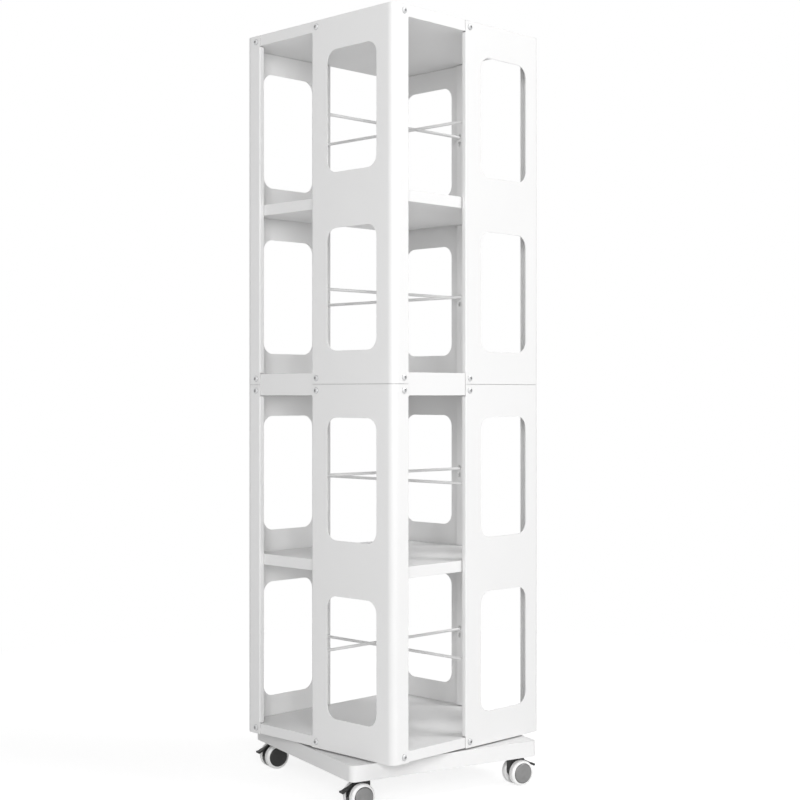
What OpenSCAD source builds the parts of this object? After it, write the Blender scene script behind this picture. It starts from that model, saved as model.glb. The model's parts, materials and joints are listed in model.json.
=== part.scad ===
// Revolving tower bookcase: two stacked sheet-steel modules that turn together on a
// ball bearing over a square base with four braked twin-wheel casters.
// Millimetres, +Z up. The origin is on the floor under the turning axis, and the
// tower's faces lie square to X and Y.

/* [Tower] */
// Width of the square tower across its outer faces
tower_w = 352; // [330:1:380]
// Clear height of one tier of books
tier_h = 267; // [230:1:320]
// Height of a shelf box, and of half the box at the joint of the modules
rim_h = 18; // [17:0.5:24]
// Sheet thickness of the posts
post_sheet = 1.2; // [1:0.1:1.6]
// Outer radius of the bend at a post's corner
post_bend_r = 12; // [8:0.5:18]
// How far a post's wide panel runs past the middle of its face
panel_past_middle = 10; // [9:0.5:12]
// Width of a post's narrow flange
flange_w = 35; // [32:1:45]
// Sheet thickness of the shelves and of their liners
shelf_sheet = 1; // [0.8:0.1:1.4]
// Clearance between parts that are seated on each other
seat_fit = 0.1; // [0.05:0.01:0.2]
// Gap between the ends of the posts at the joint of the modules
seam_gap = 0.6; // [0.4:0.1:1]
// How far the bottom tray's rim stops short of the tower's foot
rim_short = 1.2; // [0:0.1:2]

/* [Windows] */
// Width of a window in a wide panel
window_w = 113; // [80:1:125]
// Height of a window
window_h = 196; // [140:1:205]
// Corner radius of a window
window_r = 20; // [8:1:34]

/* [Folded hems] */
// Depth of the fold along a free edge
hem_depth = 9; // [6.6:0.1:11]
// Width of the inner lip behind a wide panel's free edge
hem_lip_w = 17; // [17:0.5:24]
// Outer radius of a hem's bends
hem_bend_r = 2; // [1.7:0.1:2.6]
// Room left between a hem's end and the shelf box at that end
hem_end_gap = 1.5; // [1:0.1:4]

/* [Divider rods] */
// Diameter of a rod
rod_d = 5; // [4:0.1:6]
// Height of the lower rod's axis over its shelf
rod_rise = 124; // [90:1:160]
// Height of the upper rod's axis over the lower one
rod_step = 13; // [11:0.5:20]
// Room over a rod in its slot
rod_slot_room = 3; // [1:0.5:4]
// Room between a rod's end and the panel
rod_end_gap = 1; // [0.5:0.1:2]

/* [Shelf tabs] */
// Width of a mid shelf's hook tab
tab_w = 7; // [5:0.5:9]
// How far a tab hooks down behind the lip
tab_hook = 3.5; // [2:0.5:5]
// Height of a tab over the underside of its shelf
tab_rise = 7; // [6:0.5:9]

/* [Screws] */
// Diameter of a screw's shank
screw_d = 5; // [4:0.1:6]
// Diameter of a screw's head
screw_head_d = 10; // [8:0.5:12]
// Height of a screw's head
screw_head_h = 2.8; // [2:0.1:3.5]
// Length of a screw under its head
screw_len = 8; // [6:0.5:12]
// Distance of a screw from the end of its post
screw_edge = 10; // [8:0.5:11]
// Distance of a flange's screw from the tower's corner
screw_corner = 25; // [21:0.5:28]
// Diameter of the nut welded inside a shelf box
weld_nut_d = 9; // [8:0.5:11]
// Height of that nut
weld_nut_h = 4; // [3:0.5:6]

/* [Base] */
// How far each side of the square base stands out past the tower's
base_overhang = -1; // [-15:0.5:15]
// Height of the base's rim
base_h = 25.5; // [22:0.5:36]
// Sheet thickness of the base
base_sheet = 1.5; // [1.2:0.1:2]
// Corner radius of the base
base_corner_r = 10; // [6:0.5:20]
// Width of the stiffening lip under the base's rim
base_lip = 12; // [8:0.5:15]
// Angle of the base to the tower, seen from above
base_turn = -15; // [-45:1:45]
// Gap between the base and the tower
turn_gap = 2; // [1.5:0.1:5]

/* [Turntable bearing] */
// Diameter of a ball
ball_d = 6; // [5:0.1:7]
// Number of balls
ball_count = 24; // [12:1:40]
// Radius of the ring of balls
race_r = 55; // [45:1:60]
// Sheet thickness of the pressed races
race_sheet = 1.6; // [1.2:0.1:2]
// Gap between the two races
race_gap = 1; // [0.6:0.1:2]
// Width of the square upper plate
upper_plate_w = 180; // [172:1:220]
// Distance of the upper plate's holes from its edges
upper_hole_inset = 12; // [10:0.5:16]
// Radius of the round lower plate
lower_plate_r = 76; // [75:0.5:85]
// Distance of the lower plate's holes from its edge
lower_hole_inset = 8; // [7:0.5:9]
// Width of a nut over its corners
nut_d = 9.2; // [8:0.1:11]
// Height of a nut
nut_h = 4; // [3:0.5:5]

/* [Casters] */
// Diameter of a wheel
wheel_d = 42; // [38:1:60]
// Width of one wheel
wheel_w = 11; // [9:0.5:14]
// Distance between the two wheels of a caster
wheel_space = 12; // [11.5:0.5:16]
// Room between a caster's socket and the base's lip on the side that its outer wheel faces
socket_side_room = 2; // [1:0.5:20]
// Room between a caster's socket and the base's lip on the side that its brake lever points to
socket_lever_room = 10; // [1:0.5:20]
// Distance from a caster's stem back to its axle
caster_trail = 5; // [3:0.5:10]
// Diameter of an axle
axle_d = 5; // [4:0.1:6]
// Diameter of a caster's stem
stem_d = 8; // [6:0.1:8.4]
// Outer diameter of a stem's socket
socket_d = 16; // [12:0.5:18]
// Diameter of a wheel's hub cap
cap_d = 33; // [26:0.5:35]
// Thickness of a hub cap at its edge
cap_edge = 1.4; // [1:0.1:2]
// Height of the bevel round a hub cap's face
cap_bevel = 1; // [0.6:0.1:2]
// Radius of a wheel's outer shoulder
shoulder_r = 4; // [2:0.5:4]
// Rise of a caster's housing over its wheels
body_rise = 4; // [3:0.1:6]
// Reach of the housing in front of the axle
body_front = 17.5; // [15:0.1:19]
// Reach of the housing behind the axle
body_back = 10; // [8:0.1:11]
// Gap between the wheels and the boss on the housing
boss_gap = 1; // [0.6:0.1:2]

/* [Brake levers] */
// Length of a lever from its pivot to its tip
lever_len = 30.5; // [28:0.5:36]
// Length of a lever's tread
lever_tread = 12.5; // [9:0.5:13.5]
// Width of a lever's tread
lever_w = 10; // [8:0.1:10.5]
// Thickness of a lever
lever_t = 3; // [2:0.1:3.4]
// Diameter of a lever's pivot pin
lever_pin_d = 3; // [2:0.1:3.4]
// Slope of a lever below level when it is pressed down
lever_slope = 27; // [26:1:36]

/* [Hidden] */
$fn = 48;

// Running clearance of pins, balls and stems, and the room round a screw's shank
run_fit = 0.05;
screw_room = 0.2;
// Length by which a cut runs past the faces that it opens
past = 1;

// Plan sizes of the tower
half = tower_w / 2;
edge_x = -panel_past_middle;
panel_w = half + panel_past_middle;
window_x = half - panel_w / 2;
tray_inset = post_sheet + seat_fit;
tray_w = tower_w - 2 * tray_inset;
tray_r = post_bend_r - tray_inset;
shelf_w = tower_w - 2 * (hem_depth + seat_fit);
shelf_r = 6;
liner_fit = 2 * (shelf_sheet + seat_fit);
flange_screw_x = half - screw_corner;
base_w = tower_w + 2 * base_overhang;
base_lip_r = base_corner_r / 2;

// Screws
hex_share = 0.46;
hex_depth_share = 0.6;
tray_hole = tray_inset + shelf_sheet + weld_nut_h + past;

// Heights, from the floor up
wheel_r = wheel_d / 2;
body_h = wheel_r + body_rise;
boss_rise = 0.5;
boss_top = wheel_r + body_h + boss_rise;
swivel_gap = 0.3;
collar_h = 1.8;
socket_z = boss_top + swivel_gap + collar_h;
rim_over_boss = 1.5;
base_z = boss_top + rim_over_boss;
base_top = base_z + base_h;
tower_z = base_top + turn_gap;
module_h = 3 * rim_h + 2 * tier_h;
joint_z = tower_z + module_h;
tower_top = joint_z + module_h;
shelf_in_module = rim_h + tier_h;
lower_shelf_z = tower_z + shelf_in_module;
upper_shelf_z = joint_z + shelf_in_module;

// Heights within one post
hem_z = rim_h + hem_end_gap;
hem_h = module_h - 2 * hem_z;
tier_floors = [rim_h, shelf_in_module + rim_h];
post_screw_rows = [screw_edge, module_h - screw_edge];

// Bearing
bearing_h = tower_z + rim_h - shelf_sheet - base_top;
race_in_r = ball_d / 2 + run_fit;
race_out_r = race_in_r + race_sheet;
upper_hole_x = upper_plate_w / 2 - upper_hole_inset;
lower_hole_r = lower_plate_r - lower_hole_inset;
stud_past_nut = 1;
stud_len = race_sheet + nut_h + stud_past_nut;
bearing_screw_head_h = 2;

// Casters
socket_edge = base_w / 2 - base_lip - socket_d / 2;
stem_x = socket_edge - socket_side_room;
stem_y = socket_edge - socket_lever_room;
web_gap = 0.6;
web_t = wheel_space - 2 * web_gap;
web_inset = 0.5;
web_r = wheel_r - web_inset;
front_drop = 1;
front_slope = 50;
boss_d = 15;
boss_low = wheel_r + boss_gap;
bore_floor = 6;
stem_low = wheel_r + bore_floor + swivel_gap;
stem_high = base_top - base_sheet - past;
cap_recess = cap_edge + seat_fit;
cap_bevel_run = 2 * cap_bevel;
wheel_inner_r = 1.5;
axle_half = wheel_space / 2 + wheel_w - cap_recess - seat_fit;
lever_v = 5;
lever_u = wheel_r;
lever_hub_wall = 1.2;
lever_hub_r = lever_pin_d / 2 + lever_hub_wall;
lever_slot = 6.6;
lever_neck = 6;
lever_tip_r = 2;
lever_room = 0.6;
lever_tread_start = lever_len - lever_tread;
slot_r = norm([lever_v, lever_u]) - lever_hub_r - lever_room;

CORNERS = [
    ["front_right", 1, -1],
    ["rear_right", 1, 1],
    ["rear_left", -1, 1],
    ["front_left", -1, -1]
];
CASTER_PIECES = ["housing", "axle", "outer_wheel", "inner_wheel", "outer_cap", "inner_cap", "brake_lever"];
TIERS = ["bottom_tier_rods", "lower_tier_rods", "upper_tier_rods", "top_tier_rods"];
TIER_FLOORS = [tower_z + rim_h, lower_shelf_z + rim_h, joint_z + rim_h, upper_shelf_z + rim_h];

// Outline of a square plate with round corners
module rounded_square(w, r) {
    rounded_rect(w, w, r);
}

// Outline of a rectangle with round corners
module rounded_rect(w, h, r) {
    square([w - 2 * r, h], center = true);
    square([w, h - 2 * r], center = true);
    for (x = [-1, 1], y = [-1, 1])
        translate([x * (w / 2 - r), y * (h / 2 - r)])
            circle(r);
}

// Outline of a sheet's quarter bend, from the +X to the +Y side of its centre
module bend(outer_r, sheet) {
    intersection() {
        difference() {
            circle(outer_r);
            circle(outer_r - sheet);
        }
        square(outer_r);
    }
}

// Sheet pan with its deck on top and its rim folded down
module pan(w, r, h, sheet) {
    difference() {
        linear_extrude(h)
            rounded_square(w, r);
        translate([0, 0, -past])
            linear_extrude(h - sheet + past)
                rounded_square(w - 2 * sheet, r - sheet);
    }
}

// Solid of an outline drawn from the side, centred on the plane of X and Z
module side_slab(t) {
    rotate([90, 0, 0])
        linear_extrude(t, center = true)
            children();
}

// Turns a shape so that its +Z runs inward from the middle of the front face
module on_front_face(x, z) {
    translate([x, -half, z])
        rotate([-90, 0, 0])
            children();
}

// The two screw places of each face, at one height
module at_tray_screws(z) {
    for (turn = [0:90:270], x = [0, -flange_screw_x])
        rotate(turn)
            on_front_face(x, z)
                children();
}

// Domed screw head with a hexagon socket, over a plain shank
module button_screw() {
    edge_h = 0.8;
    crown = screw_head_h - edge_h;
    dome_r = (pow(screw_head_d / 2, 2) + crown * crown) / (2 * crown);
    difference() {
        union() {
            intersection() {
                translate([0, 0, -screw_head_h])
                    cylinder(d = screw_head_d, h = screw_head_h);
                translate([0, 0, dome_r - screw_head_h])
                    sphere(dome_r, $fn = 64);
            }
            cylinder(d = screw_d, h = screw_len);
        }
        translate([0, 0, -screw_head_h - past])
            cylinder(d = screw_head_d * hex_share, h = past + screw_head_h * hex_depth_share, $fn = 6);
    }
}

// Flat walls of a post: wide panel on the front face, bend and flange on the right face
module post_walls() {
    translate([edge_x + hem_bend_r, -half])
        square([half - post_bend_r - edge_x - hem_bend_r, post_sheet]);
    translate([half - post_bend_r, -half + post_bend_r])
        rotate(-90)
            bend(post_bend_r, post_sheet);
    translate([half - post_sheet, -half + post_bend_r])
        square([post_sheet, flange_w - post_bend_r - hem_bend_r]);
}

// Plain free edges of a post, beside the shelf boxes at its ends
module post_edges() {
    translate([edge_x, -half])
        square([hem_bend_r, post_sheet]);
    translate([half - post_sheet, -half + flange_w - hem_bend_r])
        square([post_sheet, hem_bend_r]);
}

// Folded free edges of a post: a C-shaped hem on the panel, a return on the flange
module post_hems() {
    translate([edge_x + hem_bend_r, -half + hem_bend_r])
        rotate(180)
            bend(hem_bend_r, post_sheet);
    translate([edge_x, -half + hem_bend_r])
        square([post_sheet, hem_depth - 2 * hem_bend_r]);
    translate([edge_x + hem_bend_r, -half + hem_depth - hem_bend_r])
        rotate(90)
            bend(hem_bend_r, post_sheet);
    translate([edge_x + hem_bend_r, -half + hem_depth - post_sheet])
        square([hem_lip_w - hem_bend_r, post_sheet]);
    translate([half - hem_bend_r, -half + flange_w - hem_bend_r])
        bend(hem_bend_r, post_sheet);
    translate([half - hem_depth, -half + flange_w - post_sheet])
        square([hem_depth - hem_bend_r, post_sheet]);
}

// Slot in a hem's lip: a rod lies in its round bottom
module rod_slot(z) {
    slot_r = rod_d / 2 + seat_fit;
    on_front_face(0, z)
        translate([0, 0, hem_depth - 2 * post_sheet])
            linear_extrude(3 * post_sheet) {
                circle(slot_r);
                translate([-slot_r, -slot_r - rod_slot_room])
                    square([2 * slot_r, slot_r + rod_slot_room]);
            }
}

// Slot in a hem's lip: a mid shelf's tab stands on its lower edge
module tab_slot() {
    tab_room = 1.5;
    slot_h = shelf_sheet + tab_hook + tab_room;
    translate([-tab_w / 2 - seat_fit, -half + hem_depth - 2 * post_sheet, shelf_in_module + tab_rise])
        cube([tab_w + 2 * seat_fit, 3 * post_sheet, slot_h]);
}

// One folded post at the front right corner, in a module that stands on z = 0
module post() {
    difference() {
        union() {
            translate([0, 0, seam_gap / 2])
                linear_extrude(module_h - seam_gap)
                    post_walls();
            translate([0, 0, hem_z])
                linear_extrude(hem_h)
                    post_hems();
            for (z = [seam_gap / 2, module_h - hem_z])
                translate([0, 0, z])
                    linear_extrude(hem_z - seam_gap / 2)
                        post_edges();
        }
        for (floor_z = tier_floors) {
            on_front_face(window_x, floor_z + tier_h / 2)
                translate([0, 0, -past])
                    linear_extrude(post_sheet + 2 * past)
                        rounded_rect(window_w, window_h, window_r);
            for (rise = [rod_rise, rod_rise + rod_step])
                rod_slot(floor_z + rise);
        }
        tab_slot();
        for (z = post_screw_rows) {
            on_front_face(0, z)
                post_screw_hole();
            rotate(90)
                on_front_face(-flange_screw_x, z)
                    post_screw_hole();
        }
    }
}

// Clearance hole for a screw through a post
module post_screw_hole() {
    translate([0, 0, -past])
        cylinder(d = screw_d + 2 * screw_room, h = post_sheet + 2 * past);
}

// Shelf box at the end of a module, with nuts welded behind its screw holes
module end_tray(h, screw_rows) {
    difference() {
        union() {
            pan(tray_w, tray_r, h, shelf_sheet);
            for (z = screw_rows)
                at_tray_screws(z)
                    translate([0, 0, tray_inset + shelf_sheet / 2])
                        cylinder(d = weld_nut_d, h = weld_nut_h + shelf_sheet / 2);
        }
        for (z = screw_rows)
            at_tray_screws(z)
                cylinder(d = screw_d + 2 * run_fit, h = tray_hole);
    }
}

// Shelf box at the middle of a module, hung by a hook tab on each hem
module mid_shelf() {
    tongue_y = half - hem_depth + post_sheet + seat_fit + shelf_sheet;
    pan(shelf_w, shelf_r, rim_h, shelf_sheet);
    for (turn = [0:90:270])
        rotate(turn) {
            translate([-tab_w / 2, -tongue_y, tab_rise])
                cube([tab_w, tongue_y - shelf_w / 2 + shelf_sheet / 2, shelf_sheet]);
            translate([-tab_w / 2, -tongue_y, tab_rise - tab_hook])
                cube([tab_w, shelf_sheet, tab_hook + shelf_sheet]);
        }
}

// Flat sheet that closes a shelf box from below
module liner(w, r) {
    linear_extrude(shelf_sheet)
        rounded_square(w - liner_fit, r - shelf_sheet - seat_fit);
}

module top_tray() {
    color("white")
        translate([0, 0, tower_top - rim_h])
            end_tray(rim_h, [rim_h - screw_edge]);
}

module top_liner() {
    color("white")
        translate([0, 0, tower_top - rim_h])
            liner(tray_w, tray_r);
}

module upper_shelf() {
    color("white")
        translate([0, 0, upper_shelf_z])
            mid_shelf();
}

module upper_shelf_liner() {
    color("white")
        translate([0, 0, upper_shelf_z])
            liner(shelf_w, shelf_r);
}

module joint_tray() {
    color("white")
        translate([0, 0, joint_z - rim_h])
            end_tray(2 * rim_h, [rim_h - screw_edge, rim_h + screw_edge]);
}

module joint_liner() {
    color("white")
        translate([0, 0, joint_z - rim_h])
            liner(tray_w, tray_r);
}

module lower_shelf() {
    color("white")
        translate([0, 0, lower_shelf_z])
            mid_shelf();
}

module lower_shelf_liner() {
    color("white")
        translate([0, 0, lower_shelf_z])
            liner(shelf_w, shelf_r);
}

// Open pan over the bearing, with studs under its deck for the upper race
module bottom_tray() {
    color("white")
        translate([0, 0, tower_z]) {
            translate([0, 0, rim_short])
                end_tray(rim_h - rim_short, [screw_edge - rim_short]);
            for (x = [-1, 1], y = [-1, 1])
                translate([x * upper_hole_x, y * upper_hole_x, rim_h - shelf_sheet - stud_len])
                    cylinder(d = screw_d, h = stud_len + shelf_sheet / 2);
        }
}

// Post at the corner with this number, counted from the front right
module placed_post(corner, z) {
    color("white")
        translate([0, 0, z])
            rotate(90 * corner)
                post();
}

// Two crossed rods of one tier, hooked in the hems of opposite posts
module divider_rods(floor_z) {
    rod_len = tower_w - 2 * (post_sheet + rod_end_gap);
    color("white") {
        translate([0, 0, floor_z + rod_rise])
            rotate([0, 90, 0])
                cylinder(d = rod_d, h = rod_len, center = true);
        translate([0, 0, floor_z + rod_rise + rod_step])
            rotate([90, 0, 0])
                cylinder(d = rod_d, h = rod_len, center = true);
    }
}

// Screws of one module's posts
module post_screws(z) {
    color("silver")
        for (row = post_screw_rows)
            at_tray_screws(z + row)
                button_screw();
}

// Pressed channel that holds the lower half of the balls, from z = 0 up
module race_channel() {
    rotate_extrude() {
        difference() {
            translate([race_r, bearing_h / 2])
                circle(race_out_r);
            translate([race_r, bearing_h / 2])
                circle(race_in_r);
            translate([race_r - race_out_r - past, bearing_h / 2 - race_gap / 2])
                square([2 * (race_out_r + past), race_out_r + race_gap]);
        }
        translate([race_r + race_in_r, 0])
            square([race_sheet, bearing_h / 2 - race_gap / 2]);
    }
}

module bearing_upper_race() {
    color("gainsboro")
        translate([0, 0, base_top + bearing_h])
            mirror([0, 0, 1]) {
                race_channel();
                difference() {
                    linear_extrude(race_sheet)
                        rounded_square(upper_plate_w, upper_hole_inset);
                    translate([0, 0, -past])
                        cylinder(r = race_r + race_in_r, h = race_sheet + 2 * past);
                    for (x = [-1, 1], y = [-1, 1])
                        translate([x * upper_hole_x, y * upper_hole_x, -past])
                            cylinder(d = screw_d + 2 * screw_room, h = race_sheet + 2 * past);
                }
            }
}

// Places of the four screws that hold the lower race to the base
module at_bearing_screws() {
    for (turn = [45:90:315])
        rotate(base_turn + turn)
            translate([lower_hole_r, 0, base_top])
                children();
}

module bearing_lower_race() {
    color("gainsboro") {
        translate([0, 0, base_top])
            race_channel();
        difference() {
            translate([0, 0, base_top])
                cylinder(r = lower_plate_r, h = race_sheet);
            translate([0, 0, base_top - past])
                cylinder(r = race_r + race_in_r, h = race_sheet + 2 * past);
            at_bearing_screws()
                translate([0, 0, -past])
                    cylinder(d = screw_d + 2 * run_fit, h = race_sheet + 2 * past);
        }
    }
}

module bearing_balls() {
    color("silver")
        for (i = [1:ball_count])
            rotate(i * 360 / ball_count)
                translate([race_r, 0, base_top + bearing_h / 2])
                    sphere(d = ball_d);
}

// Nuts on the bottom tray's studs, under the upper race
module bearing_nuts() {
    nut_top = base_top + bearing_h - race_sheet;
    color("silver")
        for (x = [-1, 1], y = [-1, 1])
            translate([x * upper_hole_x, y * upper_hole_x, nut_top - nut_h])
                difference() {
                    cylinder(d = nut_d, h = nut_h, $fn = 6);
                    translate([0, 0, -past])
                        cylinder(d = screw_d + 2 * run_fit, h = nut_h + 2 * past);
                }
}

module bearing_screws() {
    color("silver")
        at_bearing_screws() {
            translate([0, 0, -base_sheet])
                cylinder(d = screw_d, h = base_sheet + 2 * race_sheet);
            translate([0, 0, -base_sheet - bearing_screw_head_h])
                cylinder(d = nut_d, h = bearing_screw_head_h);
        }
}

// Inverted pan with a stiffening lip turned in under its rim
module base_tray() {
    color("white")
        difference() {
            rotate(base_turn)
                translate([0, 0, base_z]) {
                    pan(base_w, base_corner_r, base_h, base_sheet);
                    linear_extrude(base_sheet)
                        difference() {
                            rounded_square(base_w, base_corner_r);
                            rounded_square(base_w - 2 * base_lip, base_lip_r);
                        }
                }
            at_bearing_screws()
                translate([0, 0, -base_sheet - past])
                    cylinder(d = screw_d + 2 * screw_room, h = base_sheet + 2 * past);
        }
}

// Place of a caster's stem, with +X turned to the way its brake lever points
module at_caster(corner) {
    rotate(base_turn)
        translate([corner[1] * stem_x, corner[2] * stem_y, 0])
            rotate(90 * corner[2])
                children();
}

// Place of a caster's axle, with the same turn
module at_axle(corner) {
    at_caster(corner)
        translate([caster_trail, 0, wheel_r])
            children();
}

// Tubes welded under the base for the casters' stems
module caster_sockets() {
    color("white")
        for (corner = CORNERS)
            at_caster(corner)
                difference() {
                    translate([0, 0, socket_z])
                        cylinder(d = socket_d, h = base_top - base_sheet - socket_z);
                    translate([0, 0, socket_z - past])
                        cylinder(d = stem_d + 2 * run_fit, h = stem_high + 2 * past - socket_z);
                }
}

// Stems with a hexagon collar under the socket and a plain pin for the swivel
module caster_stems() {
    color("silver")
        for (corner = CORNERS)
            at_caster(corner) {
                translate([0, 0, stem_low])
                    cylinder(d = stem_d, h = stem_high - stem_low);
                translate([0, 0, socket_z - collar_h])
                    cylinder(d = boss_d, h = collar_h, $fn = 6);
            }
}

// Side view of what is cut away at the front of a housing: all before its straight edge
// and under the slope that starts below the axle
module front_cut() {
    low = -front_drop - wheel_d * sin(front_slope);
    polygon([
        [-body_front, body_h + past],
        [-body_front, -front_drop],
        [-body_front + wheel_d * cos(front_slope), low],
        [-wheel_d, low],
        [-wheel_d, body_h + past]
    ]);
}

// Side view of a housing about its axle: a disc a little smaller than the wheels, and a block over it
module web_outline() {
    difference() {
        union() {
            circle(web_r);
            translate([-body_front, -front_drop])
                square([body_front + body_back, front_drop + body_h]);
        }
        front_cut();
    }
}

// Side view of the slot that the lever's hub turns in
module lever_slot_outline() {
    difference() {
        translate([lever_v - lever_hub_r - lever_room, 0])
            square(2 * body_h);
        circle(slot_r);
    }
}

// Caster body: a web between the wheels with a slot for the lever, and a boss round the stem
module housing(corner) {
    color("black")
        difference() {
            at_axle(corner) {
                difference() {
                    side_slab(web_t)
                        web_outline();
                    side_slab(lever_slot)
                        lever_slot_outline();
                    rotate([90, 0, 0])
                        cylinder(d = axle_d + 2 * run_fit, h = wheel_space, center = true);
                    translate([lever_v, 0, lever_u])
                        rotate([90, 0, 0])
                            cylinder(d = lever_pin_d + 2 * run_fit, h = web_t + past, center = true);
                }
                translate([-caster_trail, 0, boss_low])
                    cylinder(d = boss_d, h = body_h + boss_rise - boss_low);
            }
            at_caster(corner)
                translate([0, 0, wheel_r + bore_floor])
                    cylinder(d = stem_d + 2 * run_fit, h = boss_top);
        }
}

module axle(corner) {
    color("silver")
        at_axle(corner)
            rotate([90, 0, 0])
                cylinder(d = axle_d, h = 2 * axle_half, center = true);
}

// Turns a wheel's own +Z outward; the outer wheel is the one away from the base's middle
module on_axle(corner, outer) {
    side = -corner[1] * corner[2] * outer;
    at_axle(corner)
        rotate([-90 * side, 0, 0])
            translate([0, 0, wheel_space / 2])
                children();
}

// Wheel with a round outer shoulder and a recess for its hub cap
module wheel(corner, outer) {
    color("whitesmoke")
        on_axle(corner, outer)
            rotate_extrude()
                difference() {
                    union() {
                        square([wheel_r - shoulder_r, wheel_w]);
                        translate([0, wheel_inner_r])
                            square([wheel_r, wheel_w - shoulder_r - wheel_inner_r]);
                        square([wheel_r - wheel_inner_r, wheel_w - shoulder_r]);
                        translate([wheel_r - shoulder_r, wheel_w - shoulder_r])
                            circle(shoulder_r);
                        translate([wheel_r - wheel_inner_r, wheel_inner_r])
                            circle(wheel_inner_r);
                    }
                    translate([0, -past])
                        square([axle_d / 2 + run_fit, wheel_w + 2 * past]);
                    translate([0, wheel_w - cap_recess])
                        square([cap_d / 2 + seat_fit, cap_recess + past]);
                }
}

// Bevelled hub cap, seated in its wheel; the one that faces the base's middle is black
module hub_cap(corner, outer) {
    color(outer > 0 ? "dimgray" : "black")
        on_axle(corner, outer)
            translate([0, 0, wheel_w - cap_edge]) {
                cylinder(d = cap_d, h = cap_edge);
                translate([0, 0, cap_edge])
                    cylinder(r1 = cap_d / 2, r2 = cap_d / 2 - cap_bevel_run, h = cap_bevel);
            }
}

// Brake lever, drawn level from its pivot and tilted down to the pressed place
module brake_lever(corner) {
    color("black")
        at_axle(corner)
            translate([lever_v, 0, lever_u])
                rotate([0, lever_slope, 0]) {
                    rotate([90, 0, 0])
                        cylinder(d = lever_pin_d, h = web_t - 2 * run_fit, center = true);
                    side_slab(lever_neck) {
                        circle(lever_hub_r);
                        translate([0, -lever_t / 2])
                            square([lever_tread_start + lever_t, lever_t]);
                    }
                    side_slab(lever_w) {
                        translate([lever_tread_start, -lever_t / 2])
                            square([lever_len - lever_tip_r - lever_tread_start, lever_t]);
                        translate([lever_len - lever_tip_r, -lever_t / 2 + lever_tip_r])
                            circle(lever_tip_r);
                    }
                }
}

top_tray();
top_liner();
upper_shelf();
upper_shelf_liner();
joint_tray();
joint_liner();
lower_shelf();
lower_shelf_liner();
bottom_tray();
for (i = [0:3]) {
    placed_post(i, joint_z);
    placed_post(i, tower_z);
    divider_rods(TIER_FLOORS[i]);
}
post_screws(joint_z);  // upper_post_screws
post_screws(tower_z);  // lower_post_screws
bearing_upper_race();
bearing_lower_race();
bearing_balls();
bearing_nuts();
bearing_screws();
base_tray();
caster_sockets();
caster_stems();
for (corner = CORNERS) {
    housing(corner);
    axle(corner);
    wheel(corner, 1);
    wheel(corner, -1);
    hub_cap(corner, 1);
    hub_cap(corner, -1);
    brake_lever(corner);
}
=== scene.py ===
"""Looks of the revolving bookcase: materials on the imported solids, a plain studio and the camera."""

import json
import math

import bpy
from mathutils import Matrix, Vector


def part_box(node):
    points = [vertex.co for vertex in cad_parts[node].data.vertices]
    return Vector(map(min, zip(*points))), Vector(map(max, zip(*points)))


# Camera, level and turned to the tower's corner
CAMERA_AT = (1.8183, -1.8168, 0.6465)
CAMERA_TURN = math.radians(44.762)
CAMERA_LENS = 68.07
CAMERA_SENSOR = 36.0
CAMERA_SHIFT_Y = -0.0065
CAMERA_NEAR = 0.05
CAMERA_FAR = 100.0

# Studio: light from all round, greys of the floor, and how far from the middle it fades to white
ROOM_LIGHT = 0.26
FLOOR_HALF = 14.0
FLOOR_GREY = 0.88
FLOOR_SPECK_GREY = 0.8624
FLOOR_SEEN_GREY = 0.42
FLOOR_SEEN_GLOW = 0.8
FLOOR_FADE_FROM = 0.6
FLOOR_FADE_TO = 1.6

# Lamps: place, width, height and power of each, all turned to the middle of the tower
TOWER_MIDDLE = (0.0, 0.0, 0.62)
LAMPS = {
    "front_lamp": ((3.11, -3.11, 1.56), 2.4, 1.8, 117.0),
    "rear_lamp": ((4.21, 2.43, 5.66), 3.4, 2.6, 238.0),
}

# Casters, in metres: turn of the base they sit under, radii of a wheel and of its hub cap
BASE_TURN = math.radians(-15)
WHEEL_R = 0.021
CAP_R = 0.0165

# Masks: cosine between soft and plain normal on a face and on an edge, openness of a face and of a joint
FACE_COSINE = 0.995
EDGE_COSINE = 0.8
FACE_OPEN = 0.8
JOINT_OPEN = 0.35
EDGE_SAMPLES = 4
JOINT_SAMPLES = 8


def linked(tree, socket, value):
    """Links an output to a socket, or sets the socket to a plain value."""
    if isinstance(value, bpy.types.NodeSocket):
        tree.links.new(value, socket)
    else:
        socket.default_value = value


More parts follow.
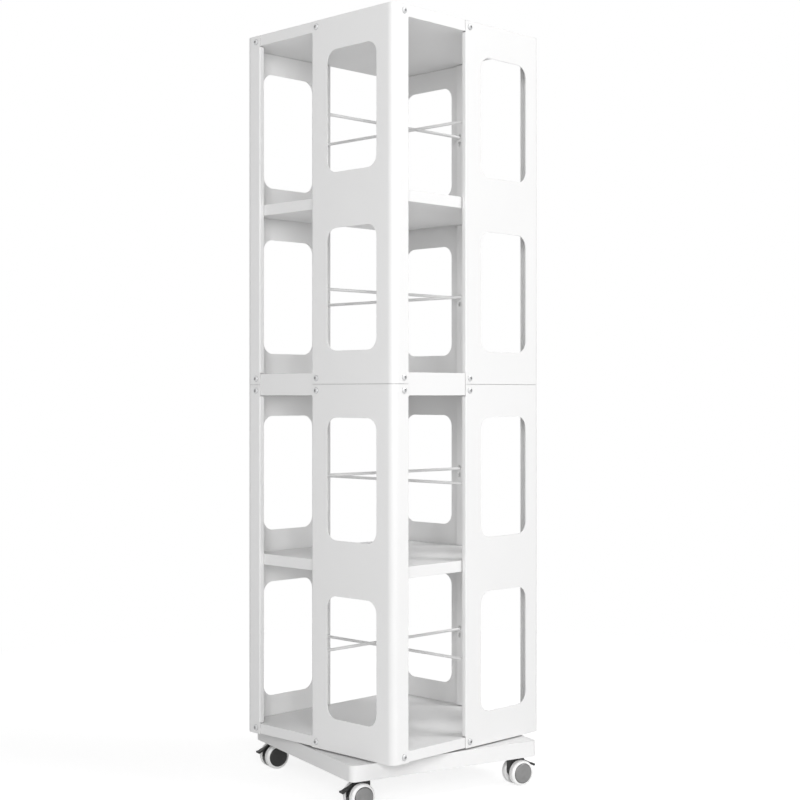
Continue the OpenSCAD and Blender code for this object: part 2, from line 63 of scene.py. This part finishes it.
class Look:
    """One material's node tree, built from short calls."""

    def __init__(self, name):
        self.material = bpy.data.materials.new(name)
        self.material.use_nodes = True
        self.tree = self.material.node_tree
        self.tree.nodes.clear()
        self.place = self.add("ShaderNodeTexCoord").outputs["Object"]

    def add(self, kind, inputs=None, **settings):
        """New node with these settings and inputs."""
        node = self.tree.nodes.new(kind)
        for key, value in settings.items():
            setattr(node, key, value)
        for key, value in (inputs or {}).items():
            linked(self.tree, node.inputs[key], value)
        return node

    def math(self, operation, a, b=0.0):
        """One sum on two numbers."""
        return self.add("ShaderNodeMath", {0: a, 1: b}, operation=operation).outputs[0]

    def plus(self, value, extra, share):
        """A value with a share of another one added."""
        return self.math("ADD", value, self.math("MULTIPLY", extra, share))

    def span(self, value, low, high, to_low=0.0, to_high=1.0):
        """Maps low..high to another span, and holds what lies outside."""
        inputs = {"Value": value, "From Min": low, "From Max": high, "To Min": to_low, "To Max": to_high}
        return self.add("ShaderNodeMapRange", inputs).outputs[0]

    def stretched(self, scale):
        """The place on the piece, stretched along the axes."""
        return self.add("ShaderNodeMapping", {"Vector": self.place, "Scale": scale}).outputs[0]

    def noise(self, scale, detail=2.0, rough=0.5, vector=None):
        """Values round a half, with this many waves to the metre."""
        inputs = {"Vector": vector or self.place, "Scale": scale, "Detail": detail, "Roughness": rough}
        return self.add("ShaderNodeTexNoise", inputs).outputs[0]

    def cloud(self, scale, detail, low=0.35, high=0.65, rough=0.5):
        """Noise whose values from low to high are spread over 0 to 1."""
        return self.span(self.noise(scale, detail, rough), low, high)

    def mixed(self, share, a, b):
        """Colour between a and b."""
        node = self.add("ShaderNodeMix", data_type="RGBA")
        for index, value in ((0, share), (6, a), (7, b)):
            linked(self.tree, node.inputs[index], value)
        return node.outputs[2]

    def tinted(self, colour, tint, mask, strength):
        """Colour that goes this far to the tint where the mask is 1."""
        return self.mixed(self.math("MULTIPLY", mask, strength), colour, tint)

    def softened(self, radius):
        """Normal of softly broken edges."""
        return self.add("ShaderNodeBevel", {"Radius": radius}, samples=EDGE_SAMPLES).outputs[0]

    def edges(self, soft):
        """Mask that is 1 on the edges that the soft normal rounds."""
        plain = self.add("ShaderNodeNewGeometry").outputs["Normal"]
        dot = self.add("ShaderNodeVectorMath", {0: soft, 1: plain}, operation="DOT_PRODUCT")
        return self.span(dot.outputs["Value"], FACE_COSINE, EDGE_COSINE)

    def hollows(self, reach):
        """Ambient-occlusion mask that is 1 deep in sockets and joints and 0 on open faces, used to paint
        shade there.
        """
        clear = self.add("ShaderNodeAmbientOcclusion", {"Distance": reach}, samples=JOINT_SAMPLES)
        return self.span(clear.outputs["AO"], FACE_OPEN, JOINT_OPEN)

    def bumped(self, height, depth, normal):
        """Normal over a height map of this depth in metres."""
        inputs = {"Height": height, "Distance": depth, "Strength": 1.0, "Normal": normal}
        return self.add("ShaderNodeBump", inputs).outputs[0]

    def wheel_radius(self, axle_y):
        """Distance from the axle, for the pieces that turn on one."""
        turn = {"Vector": self.place, "Angle": -BASE_TURN}
        turned = self.add("ShaderNodeVectorRotate", turn, rotation_type="Z_AXIS").outputs[0]
        parts = self.add("ShaderNodeSeparateXYZ", {0: turned}).outputs
        along = self.math("SUBTRACT", self.math("ABSOLUTE", parts[1]), axle_y)
        up = self.math("SUBTRACT", parts[2], WHEEL_R)
        square = self.math("ADD", self.math("MULTIPLY", along, along), self.math("MULTIPLY", up, up))
        return self.math("SQRT", square)

    def surface(self, colour, roughness, normal, metallic=0.0):
        """Ends the tree in one surface."""
        inputs = {"Base Color": colour, "Roughness": roughness, "Normal": normal, "Metallic": metallic}
        shader = self.add("ShaderNodeBsdfPrincipled", inputs).outputs[0]
        self.add("ShaderNodeOutputMaterial", {"Surface": shader})
        return self.material


def grey(value, warmth=0.0):
    """Grey with a little red over blue."""
    return (value * (1 + warmth), value, value * (1 - warmth), 1.0)


def white_paint():
    """Satin powder coat: orange peel, slow drifts of tone and gloss, thin edges, painted shade in the
    joints.
    """
    dark_coat = grey(0.80, 0.002)
    pale_coat = grey(0.82, 0.001)
    thin_coat = grey(0.60)
    painted_joint_shade = grey(0.25, 0.01)
    edge_radius = 0.0005
    joint_reach = 0.004
    peel_depth = 0.00004
    smooth, dull = 0.36, 0.48
    smear_stretch = (1.0, 1.0, 0.35)

    look = Look("white_powder_coat")
    soft = look.softened(edge_radius)
    drift = look.cloud(scale=4.0, detail=3.0)
    speck = look.cloud(scale=1600.0, detail=1.0, low=0.3, high=0.7)
    tone = look.plus(look.math("MULTIPLY", drift, 0.75), speck, share=0.25)
    colour = look.mixed(tone, dark_coat, pale_coat)
    patches = look.cloud(scale=90.0, detail=3.0, low=0.45, high=0.7)
    rubbed = look.math("MULTIPLY", look.edges(soft), patches)
    colour = look.tinted(colour, thin_coat, rubbed, strength=0.5)
    # Painted shade: the coat goes darker where ambient occlusion finds joints and corners.
    colour = look.tinted(colour, painted_joint_shade, look.hollows(joint_reach), strength=0.55)
    smears = look.noise(scale=7.0, detail=4.0, rough=0.6, vector=look.stretched(smear_stretch))
    roughness = look.plus(look.span(smears, 0.3, 0.7, smooth, dull), speck, share=0.04)
    peel = look.noise(scale=340.0, detail=2.0)
    peel = look.plus(peel, look.noise(scale=1100.0, detail=1.0), share=0.3)
    return look.surface(colour, roughness, look.bumped(peel, peel_depth, soft))


def bright_metal(name, dark, pale, smooth, scratch_depth, metallic):
    """Plated or plain steel: fine scratches, dull patches, bare edges, painted shade in sockets and
    joints.
    """
    dark_metal = grey(dark, -0.01)
    pale_metal = grey(pale, -0.005)
    bare_metal = grey(0.85)
    painted_socket_shade = grey(0.05)
    edge_radius = 0.0003
    socket_reach = 0.003
    dull = smooth + 0.12
    scratch_dull = 0.1
    scratch_stretch = (1.0, 1.0, 0.12)

    look = Look(name)
    soft = look.softened(edge_radius)
    patch = look.cloud(scale=120.0, detail=4.0, low=0.3, high=0.7)
    colour = look.mixed(patch, dark_metal, pale_metal)
    colour = look.tinted(colour, bare_metal, look.edges(soft), strength=0.4)
    # Painted shade: the metal goes nearly black where ambient occlusion finds sockets and joints.
    colour = look.tinted(colour, painted_socket_shade, look.hollows(socket_reach), strength=0.85)
    lines = look.noise(scale=900.0, detail=3.0, rough=0.6, vector=look.stretched(scratch_stretch))
    scratched = look.span(lines, 0.4, 0.7, 0.0, scratch_dull)
    roughness = look.math("ADD", look.span(patch, 0.0, 1.0, smooth, dull), scratched)
    return look.surface(colour, roughness, look.bumped(lines, scratch_depth, soft), metallic)


def black_nylon():
    """Moulded black plastic with a fine grain and edges rubbed paler."""
    dark_nylon = grey(0.011)
    pale_nylon = grey(0.02)
    rubbed_nylon = grey(0.07)
    edge_radius = 0.0005
    grain_depth = 0.00003
    smooth, dull = 0.36, 0.5

    look = Look("black_nylon")
    soft = look.softened(edge_radius)
    patch = look.cloud(scale=60.0, detail=4.0)
    colour = look.mixed(patch, dark_nylon, pale_nylon)
    patches = look.cloud(scale=400.0, detail=3.0, low=0.4, high=0.65)
    rubbed = look.math("MULTIPLY", look.edges(soft), patches)
    colour = look.tinted(colour, rubbed_nylon, rubbed, strength=0.6)
    grain = look.noise(scale=2600.0, detail=2.0)
    roughness = look.plus(look.span(patch, 0.0, 1.0, smooth, dull), grain, share=0.08)
    return look.surface(colour, roughness, look.bumped(grain, grain_depth, soft))


def white_tyre(axle_y):
    """Smooth white wheel, with a little dust on its tread and a moulding line beside it."""
    dark_white = grey(0.88, 0.003)
    pale_white = grey(0.91, 0.002)
    tread_dust = grey(0.45, 0.02)
    edge_radius = 0.0004
    tread_from = WHEEL_R * 0.93
    tread_to = WHEEL_R * 0.995
    line_radius = WHEEL_R * 0.885
    line_half = 0.00025
    line_depth = 0.00012
    smooth, dull = 0.24, 0.32

    look = Look("white_wheel_plastic")
    soft = look.softened(edge_radius)
    radius = look.wheel_radius(axle_y)
    cloud = look.cloud(scale=70.0, detail=3.0)
    colour = look.mixed(cloud, dark_white, pale_white)
    tread = look.span(radius, tread_from, tread_to)
    patches = look.cloud(scale=350.0, detail=4.0, low=0.42, high=0.68, rough=0.6)
    scuff = look.math("MULTIPLY", tread, patches)
    colour = look.tinted(colour, tread_dust, scuff, strength=0.2)
    roughness = look.plus(look.span(cloud, 0.0, 1.0, smooth, dull), scuff, share=0.25)
    off_line = look.math("ABSOLUTE", look.math("SUBTRACT", radius, line_radius))
    relief = look.span(off_line, 0.0, line_half)
    relief = look.plus(relief, look.noise(scale=1500.0, detail=2.0), share=0.05)
    return look.surface(colour, roughness, look.bumped(relief, line_depth, soft))


def grey_cap(axle_y):
    """Satin grey hub cap: a face that falls off to its edge, turned rings, painted shade in the joint
    round it.
    """
    dark_grey = grey(0.21, 0.005)
    pale_grey = grey(0.24, 0.004)
    painted_groove_shade = grey(0.04)
    edge_radius = 0.0003
    joint_from = CAP_R * 0.90
    joint_to = CAP_R * 0.98
    face_fall = 0.0018
    ring_depth = 0.000002
    ring_angle_per_metre = 16000.0
    smooth, dull = 0.28, 0.38

    look = Look("grey_cap_plastic")
    soft = look.softened(edge_radius)
    radius = look.wheel_radius(axle_y)
    cloud = look.cloud(scale=90.0, detail=4.0)
    colour = look.mixed(cloud, dark_grey, pale_grey)
    # Painted shade: a dark ring at the cap's rim, where the groove to the wheel lies in shade.
    colour = look.mixed(look.span(radius, joint_from, joint_to), colour, painted_groove_shade)
    roughness = look.plus(look.span(cloud, 0.0, 1.0, smooth, dull), look.edges(soft), share=-0.08)
    rings = look.math("SINE", look.math("MULTIPLY", radius, ring_angle_per_metre))
    fall = look.math("POWER", look.math("MULTIPLY", radius, 1 / CAP_R), 2.0)
    height = look.plus(look.math("MULTIPLY", rings, ring_depth), fall, share=-face_fall)
    return look.surface(colour, roughness, look.bumped(height, 1.0, soft))


def axle_distance():
    """Distance of the axles from the middle, across the base, from a wheel's own box."""
    low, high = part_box("front_right_outer_wheel")
    middle = (low + high) / 2
    return abs(math.sin(-BASE_TURN) * middle.x + math.cos(-BASE_TURN) * middle.y)


def dress(frame):
    """Gives every node the material of its slot."""
    axle_y = axle_distance()
    zinc = {"dark": 0.58, "pale": 0.68, "smooth": 0.30, "scratch_depth": 0.000012, "metallic": 0.3}
    steel = {"dark": 0.5, "pale": 0.6, "smooth": 0.26, "scratch_depth": 0.00002, "metallic": 1.0}
    looks = {
        "white_steel": white_paint(),
        "zinc_screws": bright_metal("zinc_plate", **zinc),
        "plain_steel": bright_metal("plain_steel_metal", **steel),
        "black_plastic": black_nylon(),
        "white_wheel": white_tyre(axle_y),
        "grey_cap": grey_cap(axle_y),
    }
    slots = {part["node"]: part["material_slot"] for part in frame["record"]["subparts"]}
    for name, node in frame["nodes"].items():
        node.data.materials.clear()
        node.data.materials.append(looks[slots[name]])


def seen_share(tree):
    """1 for what the camera sees, straight, in a reflection or through glass."""
    path = tree.nodes.new("ShaderNodeLightPath")
    share = path.outputs["Is Camera Ray"]
    for name in ("Is Glossy Ray", "Is Transmission Ray"):
        larger = tree.nodes.new("ShaderNodeMath")
        larger.operation = "MAXIMUM"
        tree.links.new(share, larger.inputs[0])
        tree.links.new(path.outputs[name], larger.inputs[1])
        share = larger.outputs[0]
    return share


def white_room():
    """Soft even light from all round, which looks white to the camera."""
    world = bpy.data.worlds.new("white_room")
    world.use_nodes = True
    tree = world.node_tree
    tree.nodes.clear()
    lights = tree.nodes.new("ShaderNodeBackground")
    lights.inputs["Strength"].default_value = ROOM_LIGHT
    shown = tree.nodes.new("ShaderNodeBackground")
    for node in (lights, shown):
        node.inputs["Color"].default_value = (1.0, 1.0, 1.0, 1.0)
    either = tree.nodes.new("ShaderNodeMixShader")
    out = tree.nodes.new("ShaderNodeOutputWorld")
    tree.links.new(seen_share(tree), either.inputs[0])
    tree.links.new(lights.outputs[0], either.inputs[1])
    tree.links.new(shown.outputs[0], either.inputs[2])
    tree.links.new(either.outputs[0], out.inputs["Surface"])
    bpy.context.scene.world = world


def floor_material():
    """Pale floor that keeps the shadow near the object and turns white away from it."""
    look = Look("pale_floor")
    speck = look.cloud(scale=30.0, detail=3.0, low=0.3, high=0.7)
    colour = look.mixed(speck, grey(FLOOR_SPECK_GREY), grey(FLOOR_GREY))
    lit = look.add("ShaderNodeBsdfDiffuse", {"Color": colour}).outputs[0]
    shaded = look.add("ShaderNodeBsdfDiffuse", {"Color": grey(FLOOR_SEEN_GREY)}).outputs[0]
    glow = look.add("ShaderNodeEmission", {"Strength": FLOOR_SEEN_GLOW}).outputs[0]
    white = look.add("ShaderNodeEmission", {"Strength": 1.0}).outputs[0]
    near = look.add("ShaderNodeAddShader", {0: shaded, 1: glow}).outputs[0]
    away = look.add("ShaderNodeVectorMath", {0: look.place}, operation="LENGTH").outputs["Value"]
    fade = look.span(away, FLOOR_FADE_FROM, FLOOR_FADE_TO)
    seen = look.add("ShaderNodeMixShader", {0: fade, 1: near, 2: white}).outputs[0]
    either = look.add("ShaderNodeMixShader", {0: seen_share(look.tree), 1: lit, 2: seen}).outputs[0]
    look.add("ShaderNodeOutputMaterial", {"Surface": either})
    return look.material


def pale_floor():
    """Wide flat floor under the wheels."""
    corners = [(x * FLOOR_HALF, y * FLOOR_HALF, 0.0) for x, y in ((-1, -1), (1, -1), (1, 1), (-1, 1))]
    mesh = bpy.data.meshes.new("floor")
    mesh.from_pydata(corners, [], [(0, 1, 2, 3)])
    mesh.materials.append(floor_material())
    floor = bpy.data.objects.new("floor", mesh)
    bpy.context.scene.collection.objects.link(floor)


def lamps():
    """Soft lamps that face the middle of the tower."""
    for name, (place, width, height, power) in LAMPS.items():
        data = bpy.data.lights.new(name, "AREA")
        data.shape = "RECTANGLE"
        data.size = width
        data.size_y = height
        data.energy = power
        lamp = bpy.data.objects.new(name, data)
        lamp.location = place
        way = Vector(TOWER_MIDDLE) - Vector(place)
        lamp.rotation_mode = "QUATERNION"
        lamp.rotation_quaternion = way.to_track_quat("-Z", "Y")
        lamp.visible_camera = False
        bpy.context.scene.collection.objects.link(lamp)


def camera():
    """Level camera that faces the tower's front corner."""
    data = bpy.data.cameras.new("camera")
    data.lens = CAMERA_LENS
    data.sensor_width = CAMERA_SENSOR
    data.sensor_fit = "HORIZONTAL"
    data.shift_y = CAMERA_SHIFT_Y
    data.clip_start = CAMERA_NEAR
    data.clip_end = CAMERA_FAR
    cam = bpy.data.objects.new("camera", data)
    level = Matrix.Rotation(math.radians(90), 4, "X")
    cam.matrix_world = Matrix.Translation(CAMERA_AT) @ Matrix.Rotation(CAMERA_TURN, 4, "Z") @ level
    bpy.context.scene.collection.objects.link(cam)
    bpy.context.scene.camera = cam


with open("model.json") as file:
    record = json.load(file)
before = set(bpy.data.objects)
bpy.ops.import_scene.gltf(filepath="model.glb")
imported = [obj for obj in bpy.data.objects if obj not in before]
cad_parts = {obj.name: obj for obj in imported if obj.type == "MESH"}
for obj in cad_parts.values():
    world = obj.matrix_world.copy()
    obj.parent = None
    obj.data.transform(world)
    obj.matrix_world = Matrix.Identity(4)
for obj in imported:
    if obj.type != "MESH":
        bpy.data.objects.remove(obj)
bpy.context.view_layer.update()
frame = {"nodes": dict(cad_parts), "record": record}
dress(frame)
white_room()
pale_floor()
lamps()
camera()
bpy.context.scene.view_settings.view_transform = "Standard"
